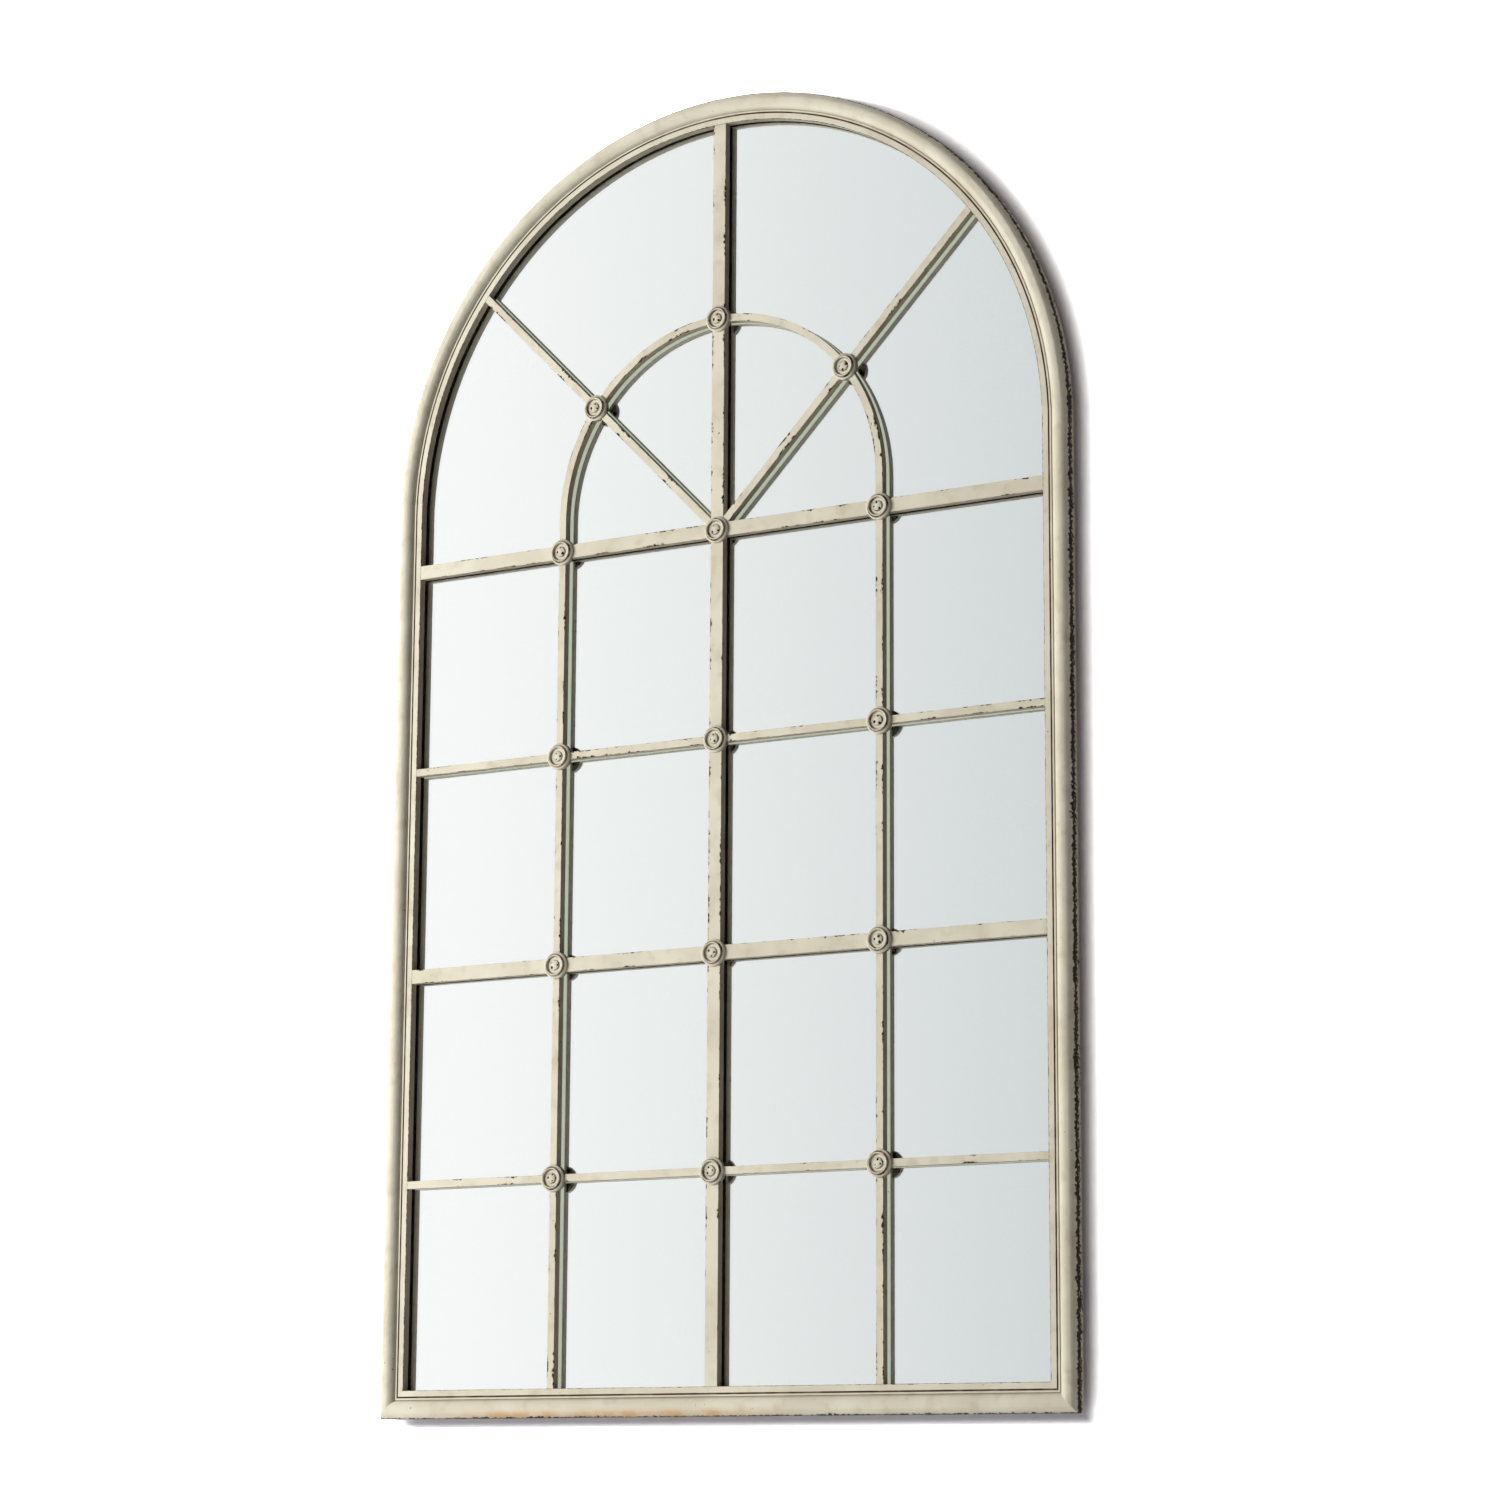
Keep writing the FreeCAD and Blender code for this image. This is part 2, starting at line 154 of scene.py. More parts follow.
def painted(name, arris, crevice=None, stain=None, worn=(0.05, 2.6), bared=0.03, seed=0.0,
            painted_back_glow=0.0):
    """Cream paint over dark iron, with painted shade that darkens the faces turned sideways.

    arris gives the distance to the nearest edge, crevice and stain are masks, and worn is how far
    (mm) the paint has gone from an edge in its sound and its poor stretches; bared makes the loss
    at the edge itself nearly unbroken. The last argument is the strength of a painted glow, an
    emission on a bar's uncovered back that stands in for light on it, seen in the mirror.
    """
    f = Finish(name)
    edge = arris(f)
    normal = f.node("ShaderNodeNewGeometry").outputs["Normal"]
    facing = f.node("ShaderNodeSeparateXYZ")
    f.link(facing.inputs[0], normal)
    # Painted shade: the more a face turns sideways from the front, the darker it is painted.
    painted_side_shade = f.ramp(f.math("ABSOLUTE", facing.outputs[1]), 0.15, 0.75, 1.0, 0.0)

    clouds = f.noise(14, 4, offset=seed)
    brush = f.noise(60, 3, offset=seed + 3)
    grit = f.noise(900, 2, offset=seed + 5)
    flakes = f.noise(330, 4, offset=seed + 7)
    patches = f.noise(38, 4, offset=seed + 11)

    color = f.mix(f.ramp(clouds, 0.38, 0.62), CREAM, PALE)
    color = f.mix(f.ramp(brush, 0.50, 0.75, 0.0, 0.34), color, TAN)
    # Painted shade on the sideways faces, mixed towards tan.
    color = f.mix(f.math("MULTIPLY", painted_side_shade, 0.35), color, TAN)

    reach = f.ramp(patches, 0.51, 0.67, worn[0] * MM, worn[1] * MM)
    depth = f.math("DIVIDE", edge, reach)
    lost = f.math("SUBTRACT", f.math("ADD", flakes, bared), f.math("MULTIPLY", depth, 0.22 + bared))
    halo = f.ramp(lost, 0.30, 0.47, 0.0, 0.55)
    color = f.mix(halo, color, TAN)
    chips = f.ramp(lost, 0.455, 0.485)
    stray = f.ramp(f.noise(210, 3, offset=seed + 17), 0.745, 0.76)
    bare = f.math("MAXIMUM", chips, stray)
    if crevice is not None:
        # The moulding's grooves are coloured darker brown.
        color = f.mix(crevice(f), color, GROOVE_BROWN)
    if stain is not None:
        color = f.mix(stain(f), color, RUST)
    color = f.mix(bare, color, IRON)
    rough = f.ramp(f.math("ADD", f.math("MULTIPLY", grit, 0.2), bare), 0.0, 1.2, 0.44, 0.85)
    coat = f.math("ADD", f.math("MULTIPLY", grit, 0.12), f.math("MULTIPLY", brush, 0.5))
    height = f.math("SUBTRACT", coat, bare)
    relief = f.bump(height, 0.12 * MM, 0.8)
    if not painted_back_glow:
        return f.surface(Base_Color=color, Roughness=rough, Normal=relief)
    # Painted light: the backs of the slim bars glow, an emission standing in for light on them, seen in the
    # mirror.
    painted_glow = f.mix(f.ramp(facing.outputs[1], 0.5, 0.9), (0, 0, 0), (0.58, 0.63, 0.51))
    return f.surface(Base_Color=color, Roughness=rough, Normal=relief, Emission_Color=painted_glow,
                     Emission_Strength=painted_back_glow)


def behind_front(f):
    """How far a point lies behind the front plane."""
    return f.math("MAXIMUM", f.math("SUBTRACT", f.y, FRONT), 0.0)


def bar_edge(distance, half):
    """Distance to a bar's front arris, from the distance to its centre line."""
    def arris(f):
        inside = f.math("MAXIMUM", f.math("SUBTRACT", half, f.math("ABSOLUTE", distance(f))), 0.0)
        return f.math("ADD", inside, behind_front(f))
    return arris


def round_arch(f, centre):
    """Distance from an arch's centre above its foot, and from the middle line below it."""
    above = f.math("MAXIMUM", f.math("SUBTRACT", f.z, centre), 0.0)
    square = f.math("ADD", f.math("MULTIPLY", f.x, f.x), f.math("MULTIPLY", above, above))
    return f.math("SQRT", square)


def from_sight(f):
    """Distance outwards from the sight edge, all round the moulding."""
    aside = f.math("SUBTRACT", round_arch(f, ARCH_Z), SIGHT)
    return f.math("MAXIMUM", aside, f.math("SUBTRACT", FACE, f.z))


FACE_STRETCH, SIDE_STRETCH, SIGHT_STRETCH = 4.5, 0.9, 14.0     # the greater, the less an arris wears


def frame_edge(f):
    """Distance to the moulding's arrises, stretched so that the outer side wears most."""
    u = from_sight(f)
    face = f.math("MULTIPLY", f.math("MAXIMUM", f.math("SUBTRACT", FACE, u), 0.0), FACE_STRETCH)
    side = f.math("MULTIPLY", f.math("MAXIMUM", f.math("SUBTRACT", f.y, ARRIS_Y), 0.0), SIDE_STRETCH)
    inner = f.math("ADD", f.math("MAXIMUM", u, 0.0), behind_front(f))
    return f.math("MINIMUM", f.math("ADD", face, side), f.math("MULTIPLY", inner, SIGHT_STRETCH))


def groove_darkening(f):
    """Darker brown lines along the two grooves and at the foot of the roll."""
    u = from_sight(f)
    total = None
    for middle, half, most in ((7.2, 1.25, 1.0), (10.4, 0.6, 0.35), (11.6, 1.0, 0.15)):
        away = f.math("ABSOLUTE", f.math("SUBTRACT", u, middle * MM))
        line = f.ramp(away, half * 0.5 * MM, half * MM, most, 0.0)
        total = line if total is None else f.math("MAXIMUM", total, line)
    return f.math("MULTIPLY", total, f.ramp(f.noise(45, 3), 0.30, 0.55, 0.75, 1.0))


def rust_stain(f):
    """Rust that has bled through the paint along the foot of the bottom rail, left of the middle."""
    low = f.ramp(f.z, 2 * MM, 11 * MM, 1.0, 0.0)
    span = f.math("MULTIPLY", f.ramp(f.x, -0.34, -0.27), f.ramp(f.x, 0.02, 0.12, 1.0, 0.0))
    broken = f.ramp(f.noise(45, 4, offset=31), 0.38, 0.62, 0.25, 0.85)
    return f.math("MULTIPLY", f.math("MULTIPLY", low, span), broken)


def across_x(at):
    return lambda f: f.math("SUBTRACT", f.x, at)


def across_z(at):
    return lambda f: f.math("SUBTRACT", f.z, at)


def across_ray(side):
    """Distance to the centre line of a ray, which leaves the hub at 45 degrees."""
    def distance(f):
        rise = f.math("SUBTRACT", f.z, HUB_Z)
        return f.math("MULTIPLY", f.math("SUBTRACT", rise, f.math("MULTIPLY", f.x, side)), math.sqrt(0.5))
    return distance


def across_inner_arch(f):
    return f.math("SUBTRACT", round_arch(f, INNER_ARCH_Z), SIDE_BAR_X)


def wear(node, material):
    """Gives a carried-over solid its finish."""
    item = nodes[node]
    if not item.material_slots:
        item.data.materials.append(material)
    for slot in item.material_slots:
        slot.material = material


for i, member in enumerate(("frame_arch", "frame_stile_left", "frame_stile_right", "frame_bottom_rail")):
    stain = rust_stain if member == "frame_bottom_rail" else None
    wear(member, painted("paint_" + member, frame_edge, groove_darkening, stain, worn=(7.0, 12.5), bared=0.17,
                         seed=0.3 * i))
BARS = {
    "centre_bar": (across_x(0), WIDE),
    "left_bar": (across_x(-SIDE_BAR_X), SLIM),
    "right_bar": (across_x(SIDE_BAR_X), SLIM),
    "lower_cross_bar": (across_z(ROWS[0]), SLIM),
    "middle_cross_bar": (across_z(ROWS[1]), WIDE),
    "upper_cross_bar": (across_z(ROWS[2]), SLIM),
    "springline_bar": (across_z(ROWS[3]), WIDE),
    "inner_arch": (across_inner_arch, SLIM),
    "left_ray": (across_ray(-1), SLIM),
    "right_ray": (across_ray(1), SLIM),
}
# Slim bars get a painted glow (emission) on their backs, standing in for light on them.
for i, (member, (distance, half)) in enumerate(BARS.items()):
    wear(member, painted("paint_" + member, bar_edge(distance, half), seed=2.0 + 0.7 * i,
                         painted_back_glow=0.75 if half == SLIM else 0.0))


# ---------------------------------------------------------------- mesh helpers
def mesh_object(name, bm, material, smooth_angle=40):
    mesh = bpy.data.meshes.new(name)
    bm.normal_update()
    bm.to_mesh(mesh)
    bm.free()
    for face in mesh.polygons:
        face.use_smooth = True
    mesh.set_sharp_from_angle(angle=math.radians(smooth_angle))
    mesh.materials.append(material)
    made = bpy.data.objects.new(name, mesh)
    bpy.context.scene.collection.objects.link(made)
    return made


def ring_of(bm, count, point):
    return [bm.verts.new(point(2 * math.pi * k / count)) for k in range(count)]


def bridge(bm, first, second):
    count = len(first)
    for k in range(count):
        bm.faces.new((first[k], first[(k + 1) % count], second[(k + 1) % count], second[k]))


# ---------------------------------------------------------------- bosses
# radius, depth in front of the bars (mm), grime with painted shade 0..1, wear 0..1
BOSS_PROFILE = (
    (12.8, -4.0, 0.8, 0.0), (13.8, -3.9, 0.6, 0.0), (14.2, -3.5, 0.5, 0.2), (14.3, -0.2, 0.5, 0.0),
    (14.3, 1.3, 0.1, 0.5), (14.1, 1.85, 0.0, 0.9), (13.6, 2.25, 0.0, 0.3), (12.9, 2.65, 0.1, 0.0),
    (12.3, 2.95, 0.5, 0.0), (11.8, 3.05, 1.0, 0.0), (11.35, 3.1, 1.0, 0.0), (11.1, 3.6, 0.7, 0.0),
    (10.95, 4.6, 0.0, 0.5), (10.65, 5.00, 0.0, 1.0), (10.1, 4.98, 0.0, 0.9), (9.75, 4.7, 0.0, 0.4),
    (9.5, 4.0, 0.2, 0.0), (9.3, 3.2, 0.6, 0.0), (9.0, 2.75, 0.75, 0.0), (8.5, 2.60, 0.3, 0.0),
    (7.6, 2.62, 0.0, 0.0), (6.4, 2.65, 0.0, 0.0), (5.9, 2.66, 0.4, 0.0), (5.5, 2.8, 0.8, 0.0),
    (5.2, 3.2, 0.6, 0.2), (4.85, 3.8, 0.1, 0.6), (4.4, 4.1, 0.0, 0.7), (3.7, 4.2, 0.1, 0.2),
    (3.1, 4.25, 0.3, 0.0), (2.7, 4.4, 0.0, 0.2), (2.0, 4.55, 0.0, 0.1), (1.1, 4.62, 0.0, 0.0),
    (0.4, 4.64, 0.0, 0.0),
)
BOSS_SIDES = 88
BOSS_CREST = 5.05               # the ring is rubbed level at this height, mm
BOSS_STEP = 0.45                # longest run of the profile between two rows of vertices, mm


def boss_rows():
    """The profile with its long runs divided."""
    rows = [BOSS_PROFILE[0]]
    for first, second in zip(BOSS_PROFILE, BOSS_PROFILE[1:]):
        count = max(1, math.ceil(math.dist(first[:2], second[:2]) / BOSS_STEP))
        for k in range(1, count + 1):
            rows.append(tuple(a + (b - a) * k / count for a, b in zip(first, second)))
    return rows


def boss_paint():
    """Paint of the castings: grime and painted shade darken the crevices and the skirt, wear lies on the
    crests, and pits are bare.
    """
    f = Finish("paint_bosses")
    grime_and_shade = f.node("ShaderNodeAttribute", attribute_name="grime_and_shade").outputs["Fac"]
    worn = f.node("ShaderNodeAttribute", attribute_name="worn").outputs["Fac"]
    pitted = f.node("ShaderNodeAttribute", attribute_name="pitted").outputs["Fac"]
    clouds = f.noise(22, 4)
    flakes = f.noise(380, 4, offset=2)
    patches = f.noise(110, 4, offset=4)
    grit = f.noise(1100, 2, offset=6)
    color = f.mix(f.ramp(clouds, 0.38, 0.62), CREAM, PALE)
    color = f.mix(f.ramp(patches, 0.52, 0.74, 0.0, 0.45), color, TAN)
    # Crevices and skirt darkened towards umber: partly grime, partly painted shade.
    color = f.mix(f.math("MULTIPLY", grime_and_shade, 0.85), color, UMBER)
    hollow = f.math("MULTIPLY", grime_and_shade, f.ramp(patches, 0.46, 0.56))
    bare = f.ramp(f.math("ADD", f.math("MULTIPLY", hollow, 0.5), flakes), 0.76, 0.84)
    crest = f.math("MULTIPLY", worn, f.ramp(flakes, 0.50, 0.64, 0.0, 0.5))
    color = f.mix(crest, color, TAN)
    bare = f.math("MAXIMUM", bare, f.ramp(f.math("ADD", pitted, f.math("MULTIPLY", grit, 0.4)), 0.52, 0.66))
    color = f.mix(bare, color, IRON)
    rough = f.ramp(f.math("ADD", f.math("MULTIPLY", grit, 0.2), bare), 0.0, 1.2, 0.38, 0.75)
    coat = f.math("ADD", f.math("MULTIPLY", grit, 0.2), f.math("MULTIPLY", flakes, 0.5))
    height = f.math("SUBTRACT", coat, bare)
    return f.surface(Base_Color=color, Roughness=rough, Normal=f.bump(height, 0.12 * MM, 0.8))


def bosses(name, node, places, material, seed):
    """Rough castings with a sloping rim, a ring, a dish and a dome, one object for each group of solids."""
    dice = random.Random(seed)
    bm = bmesh.new()
    layers = [bm.verts.layers.float.new(word) for word in ("grime_and_shade", "worn", "pitted")]
    profile = boss_rows()
    for x, z in places:
        pits = []
        turn = dice.uniform(0, 2 * math.pi)
        for k in range(3):
            angle = turn + k * 2.1 + dice.uniform(-0.4, 0.4)
            reach = dice.uniform(3.0, 4.6)
            pits.append((reach * math.cos(angle), reach * math.sin(angle), dice.uniform(0.55, 1.3)))
        shift = Vector((dice.uniform(0, 50), dice.uniform(0, 50), dice.uniform(0, 50)))
        rows = []
        for radius, forward, grime_and_shade_level, rubbed in profile:
            row = []
            for k in range(BOSS_SIDES):
                a = 2 * math.pi * k / BOSS_SIDES
                away = Vector((radius * math.cos(a), forward, radius * math.sin(a)))
                loose = min(1.0, radius / 3) * (forward > 0.2)
                away += noise.noise_vector(away * 0.55 + shift) * 0.16 * loose
                away.y = min(away.y, BOSS_CREST)
                pitted = 0.0
                for px, pz, size in pits:
                    pitted = max(pitted, 1.4 - math.hypot(away.x - px, away.z - pz) / size * 0.8)
                pitted = max(0.0, min(1.0, pitted)) * (forward > 2.5)
                away.y -= 0.5 * pitted
                vert = bm.verts.new((x + away.x * MM, FRONT - away.y * MM, z + away.z * MM))
                for layer, value in zip(layers, (grime_and_shade_level, rubbed, pitted)):
                    vert[layer] = value
                row.append(vert)
            rows.append(row)
        for first, second in zip(rows, rows[1:]):
            bridge(bm, first, second)
        bm.faces.new(rows[0])
        bm.faces.new(list(reversed(rows[-1])))
    bmesh.ops.recalc_face_normals(bm, faces=bm.faces)
    made = mesh_object(name, bm, material, 60)
    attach(made, "mirror")
    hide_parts(node)


ray_reach = 155.2 * MM
boss_material = boss_paint()
apex_z = INNER_ARCH_Z + SIDE_BAR_X
bosses("left_bosses_cast", "left_bar_bosses", [(-SIDE_BAR_X, z) for z in ROWS], boss_material, 1)
bosses("centre_bosses_cast", "centre_bar_bosses", [(0, z) for z in (*ROWS, apex_z)], boss_material, 2)
bosses("right_bosses_cast", "right_bar_bosses", [(SIDE_BAR_X, z) for z in ROWS], boss_material, 3)
ray_places = [(side * ray_reach, HUB_Z + ray_reach) for side in (-1, 1)]
bosses("ray_bosses_cast", "ray_bosses", ray_places, boss_material, 4)


# ---------------------------------------------------------------- glass and silvering
def arch_outline(offset, foot, count):
    """Closed outline of the arched window, offset outwards from the sight edge."""
    radius = SIGHT + offset
    points = [(-radius, foot), (radius, foot)]
    for k in range(count + 1):
        a = math.pi * k / count
        points.append((radius * math.cos(a), ARCH_Z + radius * math.sin(a)))
    return points


def silver_sheet():
    """Reflecting layer, pressed a hair into the glass so that the two don't share a face."""
    low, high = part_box("mirror_silvering")
    points = arch_outline(high[0] - SIGHT, low[2], 96)
    bm = bmesh.new()
    front = [bm.verts.new((x, GLASS_BACK - 0.02 * MM, z)) for x, z in points]
    back = [bm.verts.new((x, SILVER_BACK, z)) for x, z in points]
    bm.faces.new(front)
    bm.faces.new(list(reversed(back)))
    bridge(bm, front, back)
    bmesh.ops.recalc_face_normals(bm, faces=bm.faces)
    f = Finish("silvering")
    mottle = f.noise(420, 3)
    color = f.mix(f.ramp(mottle, 0.3, 0.7), (0.945, 0.955, 0.955), (0.965, 0.97, 0.965))
    rough = f.ramp(f.noise(160, 4), 0.3, 0.8, 0.012, 0.035)
    material = f.surface(Base_Color=color, Metallic=1.0, Roughness=rough)
    made = mesh_object("silver_layer", bm, material)
    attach(made, "mirror")
    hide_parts("mirror_silvering")


silver_sheet()


def glass_finish():
    f = Finish("clear_glass")
    specks = f.ramp(f.noise(1500, 2), 0.74, 0.78)
    rough = f.math("MULTIPLY", specks, 0.25)
    return f.surface(Base_Color=(0.965, 0.985, 0.972), Roughness=rough, IOR=1.52, Transmission_Weight=1.0)


wear("mirror_glass", glass_finish())


# ---------------------------------------------------------------- hidden pieces
def felt():
    f = Finish("cushion_tape")
    fuzz = f.noise(1800, 2)
    color = f.mix(f.ramp(fuzz, 0.3, 0.7), (0.012, 0.012, 0.013), (0.045, 0.045, 0.047))
    return f.surface(Base_Color=color, Roughness=0.95, Normal=f.bump(fuzz, 0.3 * MM))


def fibreboard():
    f = Finish("fibreboard")
    fibres = f.noise(620, 4, stretch=(1, 1, 0.35))
    flecks = f.noise(900, 2, offset=4)
    color = f.mix(f.ramp(fibres, 0.35, 0.65), (0.37, 0.235, 0.135), (0.45, 0.30, 0.18))
    color = f.mix(f.ramp(flecks, 0.62, 0.72, 0.0, 0.45), color, (0.17, 0.10, 0.055))
    height = f.math("ADD", fibres, f.math("MULTIPLY", flecks, 0.4))
    return f.surface(Base_Color=color, Roughness=0.82, Normal=f.bump(height, 0.15 * MM))


def black_steel():
    f = Finish("black_steel")
    orange_peel = f.noise(700, 2)
    scuffs = f.ramp(f.noise(55, 5, stretch=(1, 1, 3)), 0.62, 0.72)
    color = f.mix(scuffs, (0.018, 0.018, 0.019), (0.09, 0.085, 0.08))
    rough = f.ramp(scuffs, 0.0, 1.0, 0.42, 0.62)
    return f.surface(Base_Color=color, Roughness=rough, Normal=f.bump(orange_peel, 0.05 * MM))


def zinc():
    f = Finish("zinc_steel")
    spangle = f.node("ShaderNodeTexVoronoi")
    f.link(spangle.inputs["Vector"], f.place)
    spangle.inputs["Scale"].default_value = 450
    tone = f.ramp(spangle.outputs["Distance"], 0.0, 0.8)
    bloom = f.noise(90, 4)
    color = f.mix(tone, (0.50, 0.51, 0.52), (0.66, 0.66, 0.65))
    color = f.mix(f.ramp(bloom, 0.58, 0.75, 0.0, 0.5), color, (0.42, 0.41, 0.38))
    rough = f.ramp(bloom, 0.3, 0.7, 0.30, 0.48)
    return f.surface(Base_Color=color, Metallic=1.0, Roughness=rough, Normal=f.bump(tone, 0.02 * MM))


def rubber():
    f = Finish("bumper_rubber")
    dust = f.noise(140, 4)
    color = f.mix(f.ramp(dust, 0.5, 0.75), (0.022, 0.022, 0.022), (0.075, 0.072, 0.068))
    return f.surface(Base_Color=color, Roughness=0.85, Normal=f.bump(f.noise(900, 2), 0.1 * MM))


zinc_finish = zinc()
black_finish = black_steel()
tape_finish = felt()
wear("rim_tape", tape_finish)
wear("bar_tape", tape_finish)
wear("backing_board", fibreboard())
for node in ("retaining_band", "button_lugs", "bumper_lugs", "hanger_lugs"):
    wear(node, black_finish)
for node in ("button_studs", "hanger_loops", *(f"turn_button_{i}" for i in range(1, 7))):
    wear(node, zinc_finish)
wear("wall_bumpers", rubber())


# ---------------------------------------------------------------- hanging rings
RING_HALF, RING_TIP, RING_DROP, RING_WIRE = 7.5 * MM, 5 * MM, 15 * MM, 1.5 * MM
RING_BEND = 2.2 * MM            # start of a bend, from the corner
BEND_STEPS = 6
WIRE_SIDES = 20


DEPTHWISE = Vector((0, 1, 0))


def hanging_ring(word):
    """Wire bent to a trapezium with small radii at its corners, as one closed tube."""
    node = "hanger_ring_" + word
    low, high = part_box(node)
    middle = (low[0] + high[0]) / 2
    depth = (low[1] + high[1]) / 2
    top = high[2] - RING_WIRE
    corners = [(-RING_HALF, 0), (RING_HALF, 0), (RING_TIP, -RING_DROP), (-RING_TIP, -RING_DROP)]
    path = []
    for i, corner in enumerate(corners):
        here = Vector((middle + corner[0], depth, top + corner[1]))
        back = Vector((middle + corners[i - 1][0], depth, top + corners[i - 1][1]))
        ahead = Vector((middle + corners[(i + 1) % 4][0], depth, top + corners[(i + 1) % 4][1]))
        start = here + (back - here).normalized() * RING_BEND
        end = here + (ahead - here).normalized() * RING_BEND
        for k in range(BEND_STEPS + 1):
            t = k / BEND_STEPS
            path.append(start * (1 - t) ** 2 + here * 2 * t * (1 - t) + end * t ** 2)
    bm = bmesh.new()
    rows = []
    count = len(path)
    for i, point in enumerate(path):
        along = (path[(i + 1) % count] - path[i - 1]).normalized()
        out = along.cross(DEPTHWISE)

        def on_wire(angle):
            return point + (out * math.cos(angle) + DEPTHWISE * math.sin(angle)) * RING_WIRE

        rows.append(ring_of(bm, WIRE_SIDES, on_wire))
    for i in range(count):
        bridge(bm, rows[i], rows[(i + 1) % count])
    bmesh.ops.recalc_face_normals(bm, faces=bm.faces)
    made = mesh_object("wire_ring_" + word, bm, zinc_finish, 60)
    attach(made, node)
    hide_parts(node)


for word in ("left", "right"):
    hanging_ring(word)


# ---------------------------------------------------------------- wall and floor
SHADOW_SPAN = (-8 * MM, 24 * MM)    # from the outer edge, where the seen wall turns from dark to white
FOOT_SHIFT = 10 * MM                # the same span starts this much lower under the foot
SHADOW_TONE = (0.66, 0.64, 0.70)
BACKDROP_TONE = (8.0, 8.0, 8.2)
FLOOR_Z = -0.6
FLOOR_HALF = 20


def wall():
    """White wall with an arched hole behind the mirror, clear from behind, so that the back can be seen.

    To the camera alone it is darker next to the frame and brighter further out, which shortens the
    shadow and keeps the backdrop white.
    """
    inset = 16 * MM
    inner = arch_outline(inset, FACE - inset, 64)
    far = 9.0
    bm = bmesh.new()
    near = [bm.verts.new((x, WALL_Y, z)) for x, z in inner]
    middle = Vector((0, 0.7))
    outer = []
    for x, z in inner:
        along = Vector((x, z)) - middle
        reach = far / max(abs(along.x), abs(along.y))
        outer.append(bm.verts.new((along.x * reach, WALL_Y, 0.7 + along.y * reach)))
    bridge(bm, near, outer)
    bm.normal_update()
    if bm.faces[:][0].normal.y > 0:
        bmesh.ops.reverse_faces(bm, faces=bm.faces[:])
    f = Finish("white_wall")
    seen = f.node("ShaderNodeLightPath").outputs["Is Camera Ray"]
    plaster = f.noise(3, 3)
    white = f.mix(f.ramp(plaster, 0.3, 0.7), (0.84, 0.84, 0.845), (0.86, 0.86, 0.86))
    paint = f.node("ShaderNodeBsdfDiffuse")
    aside = f.math("SUBTRACT", round_arch(f, ARCH_Z), SIGHT + FACE)
    outside = f.math("MAXIMUM", aside, f.math("SUBTRACT", -FOOT_SHIFT, f.z))
    beyond = f.ramp(outside, *SHADOW_SPAN)
    backdrop = f.mix(beyond, SHADOW_TONE, BACKDROP_TONE)
    f.link(paint.inputs["Color"], f.mix(seen, white, backdrop))
    clear = f.node("ShaderNodeBsdfTransparent")
    choice = f.node("ShaderNodeMixShader")
    f.link(choice.inputs[0], f.node("ShaderNodeNewGeometry").outputs["Backfacing"])
    f.link(choice.inputs[1], paint.outputs[0])
    f.link(choice.inputs[2], clear.outputs[0])
    f.finish(choice.outputs[0])
    made = mesh_object("studio_wall", bm, f.material)


def floor():
    bm = bmesh.new()
    half = FLOOR_HALF
    square = ((-half, -half), (half, -half), (half, half), (-half, half))
    bm.faces.new([bm.verts.new((x, y, FLOOR_Z)) for x, y in square])
    f = Finish("pale_floor")
    seen = f.node("ShaderNodeLightPath").outputs["Is Camera Ray"]
    tone = f.mix(f.ramp(f.noise(2, 4), 0.3, 0.7), (0.70, 0.70, 0.695), (0.74, 0.738, 0.73))
    paint = f.node("ShaderNodeBsdfDiffuse")
    f.link(paint.inputs["Color"], f.mix(seen, tone, (3.0, 3.0, 2.98)))
    f.finish(paint.outputs[0])
    made = mesh_object("studio_floor", bm, f.material)


wall()
floor()


# ---------------------------------------------------------------- light
# brightness of the studio, from far right (0) past the panes' reflection (0.44 to 0.63) to far left (1)
STUDIO = (
    (0.00, (0.09, 0.085, 0.08)), (0.37, (0.12, 0.118, 0.112)), (0.44, (0.62, 0.65, 0.665)),
    (0.535, (1.0, 1.0, 1.0)), (0.63, (0.975, 0.975, 0.975)), (0.71, (0.24, 0.24, 0.24)),
    (1.00, (0.20, 0.20, 0.20)),
)


ALONG = (-0.850, 0.527, 0.0)        # the way in which that brightness runs
BAND = (0.17, 0.42)                 # middle and half height of the bright band, as a direction's Z
DIM = (0.17, 0.17, 0.17)            # above and below the band


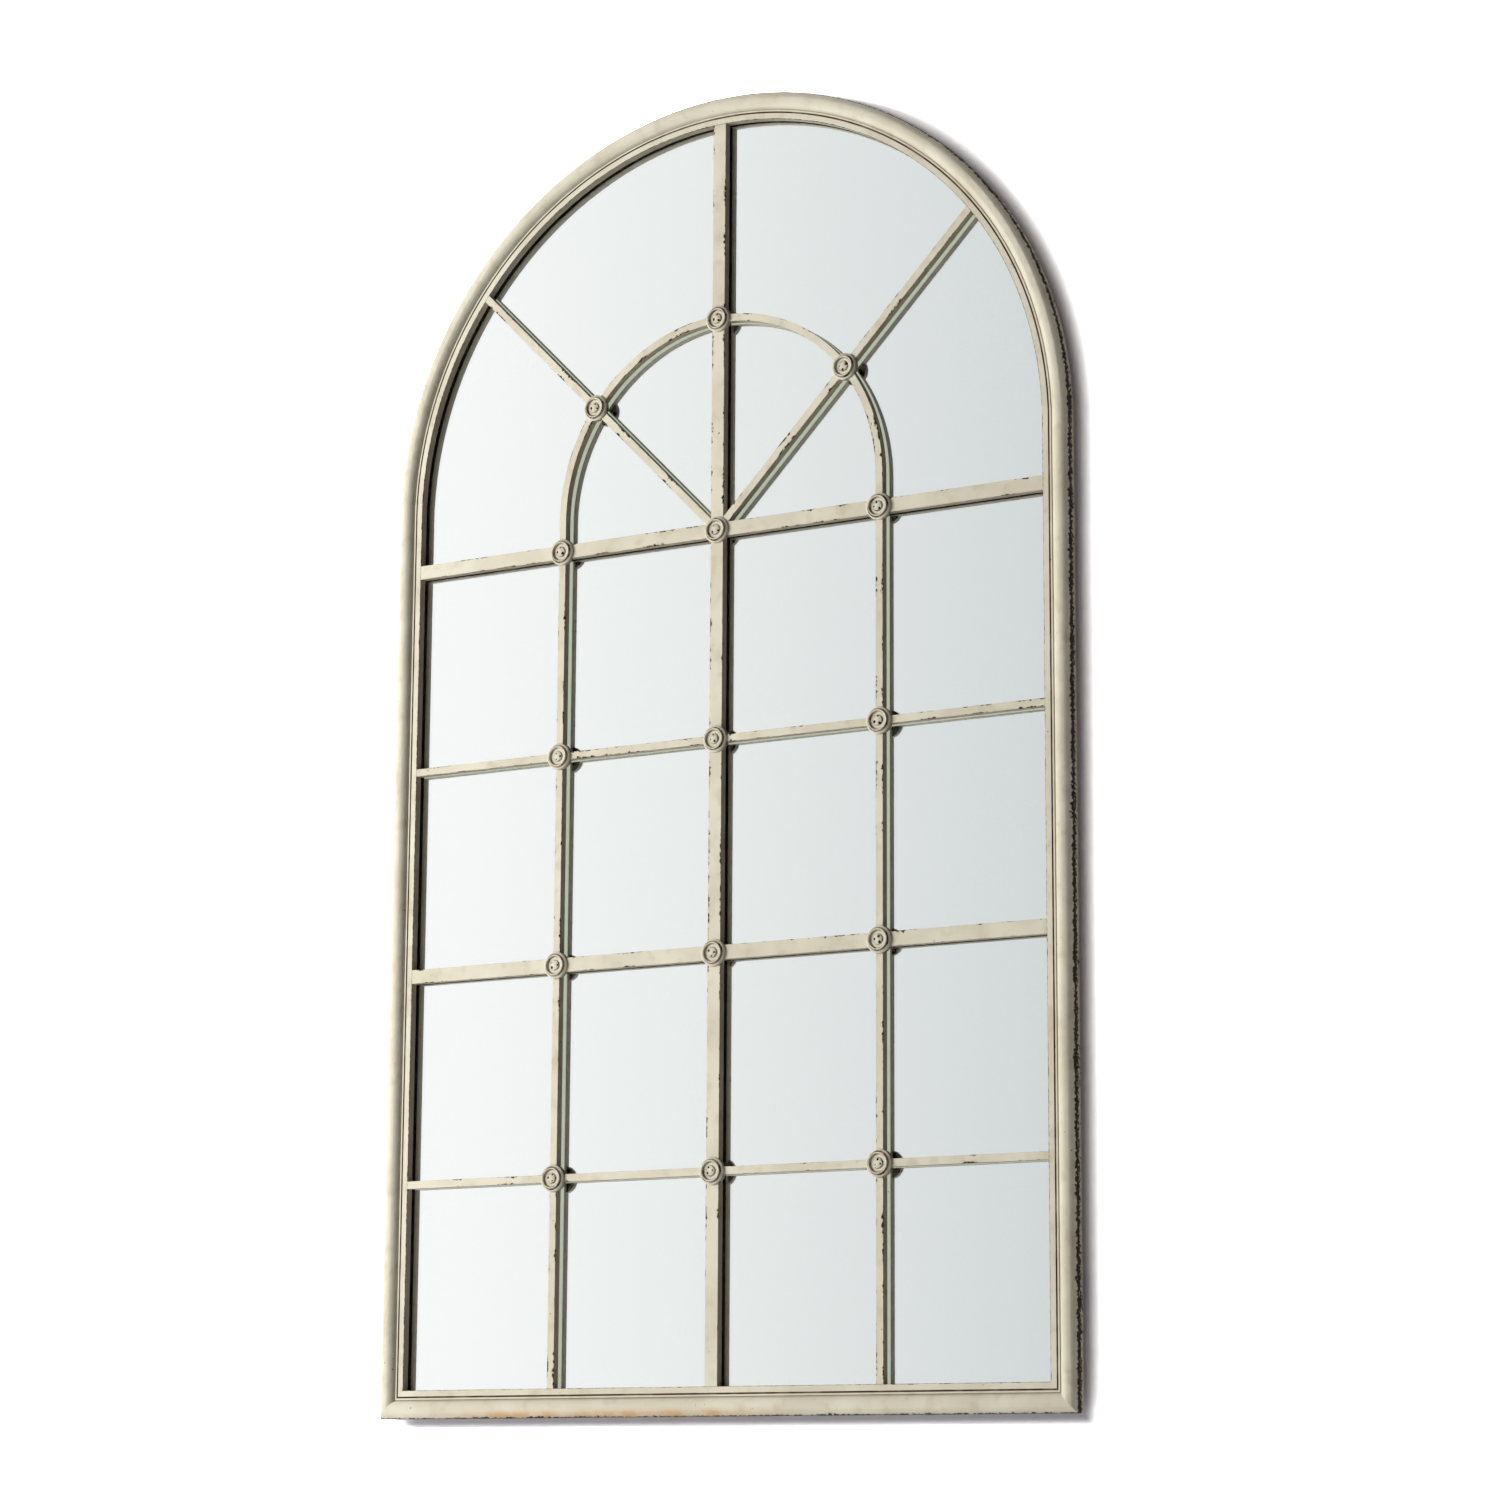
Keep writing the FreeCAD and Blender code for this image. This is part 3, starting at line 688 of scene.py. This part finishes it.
def studio_world():
    """Studio that is bright where the panes reflect it, dim elsewhere, and white to the camera."""
    world = bpy.data.worlds.new("studio")
    bpy.context.scene.world = world
    world.use_nodes = True
    tree = world.node_tree
    tree.nodes.clear()
    where = tree.nodes.new("ShaderNodeTexCoord")
    side = tree.nodes.new("ShaderNodeVectorMath")
    side.operation = "DOT_PRODUCT"
    side.inputs[1].default_value = ALONG
    span = tree.nodes.new("ShaderNodeMapRange")
    span.inputs["From Min"].default_value = -1.0
    tone = tree.nodes.new("ShaderNodeValToRGB")
    steps = tone.color_ramp.elements
    while len(steps) < len(STUDIO):
        steps.new(0.5)
    for step, (place, color) in zip(steps, STUDIO):
        step.position = place
        step.color = (*color, 1)
    split = tree.nodes.new("ShaderNodeSeparateXYZ")
    level = tree.nodes.new("ShaderNodeMath")
    level.operation = "COMPARE"
    level.inputs[1].default_value, level.inputs[2].default_value = BAND
    dim = tree.nodes.new("ShaderNodeMix")
    dim.data_type = "RGBA"
    dim.inputs["A"].default_value = (*DIM, 1)
    rays = tree.nodes.new("ShaderNodeLightPath")
    choice = tree.nodes.new("ShaderNodeMix")
    choice.data_type = "RGBA"
    choice.inputs["B"].default_value = (1, 1, 1, 1)
    shade = tree.nodes.new("ShaderNodeBackground")
    out = tree.nodes.new("ShaderNodeOutputWorld")
    tree.links.new(where.outputs["Generated"], side.inputs[0])
    tree.links.new(side.outputs["Value"], span.inputs["Value"])
    tree.links.new(span.outputs[0], tone.inputs["Fac"])
    tree.links.new(rays.outputs["Is Camera Ray"], choice.inputs["Factor"])
    tree.links.new(where.outputs["Generated"], split.inputs[0])
    tree.links.new(split.outputs["Z"], level.inputs[0])
    tree.links.new(level.outputs[0], dim.inputs["Factor"])
    tree.links.new(tone.outputs["Color"], dim.inputs["B"])
    tree.links.new(dim.outputs["Result"], choice.inputs["A"])
    tree.links.new(choice.outputs["Result"], shade.inputs["Color"])
    tree.links.new(shade.outputs[0], out.inputs["Surface"])


def softbox(name, place, target, size, power):
    """Round lamp that the camera, the mirror and the glass don't show."""
    light = bpy.data.lights.new(name, "AREA")
    light.shape = "DISK"
    light.size = size
    light.energy = power
    made = bpy.data.objects.new(name, light)
    bpy.context.scene.collection.objects.link(made)
    made.location = place
    made.rotation_mode = "QUATERNION"
    made.rotation_quaternion = (Vector(target) - Vector(place)).to_track_quat("-Z", "Y")
    made.visible_camera = False
    made.visible_glossy = False
    made.visible_transmission = False


studio_world()
softbox("key", (-2.85, -2.3, 1.15), (0, 0, 0.7), 1.6, 202)
softbox("back_fill", (1.8, 3.2, 2.4), (0, 0, 0.7), 2.0, 110)


# ---------------------------------------------------------------- camera
CAMERA_PLACE = (2.1236, -3.4068, -0.0939)
CAMERA_TURN = (31.4996, 11.0052, 0.3206)    # yaw, pitch and roll in degrees
FOCAL_PIXELS, PICTURE_PIXELS, SENSOR = 3916.2, 1500, 36


def camera():
    """Viewpoint worked out from the crossings of the bars in the photograph."""
    yaw, pitch, roll = (math.radians(angle) for angle in CAMERA_TURN)
    look = Vector((-math.sin(yaw) * math.cos(pitch), math.cos(yaw) * math.cos(pitch), math.sin(pitch)))
    right = Vector((math.cos(yaw), math.sin(yaw), 0))
    up = right.cross(look)
    right, up = right * math.cos(roll) + up * math.sin(roll), up * math.cos(roll) - right * math.sin(roll)
    data = bpy.data.cameras.new("camera")
    data.sensor_width = SENSOR
    data.lens = FOCAL_PIXELS / PICTURE_PIXELS * SENSOR
    data.clip_start = 0.1
    data.clip_end = 60
    data.dof.use_dof = False
    made = bpy.data.objects.new("camera", data)
    bpy.context.scene.collection.objects.link(made)
    turn = Matrix((right, up, -look)).transposed()
    made.matrix_world = Matrix.Translation(CAMERA_PLACE) @ turn.to_4x4()
    bpy.context.scene.camera = made


camera()
bpy.context.scene.view_settings.view_transform = "Standard"
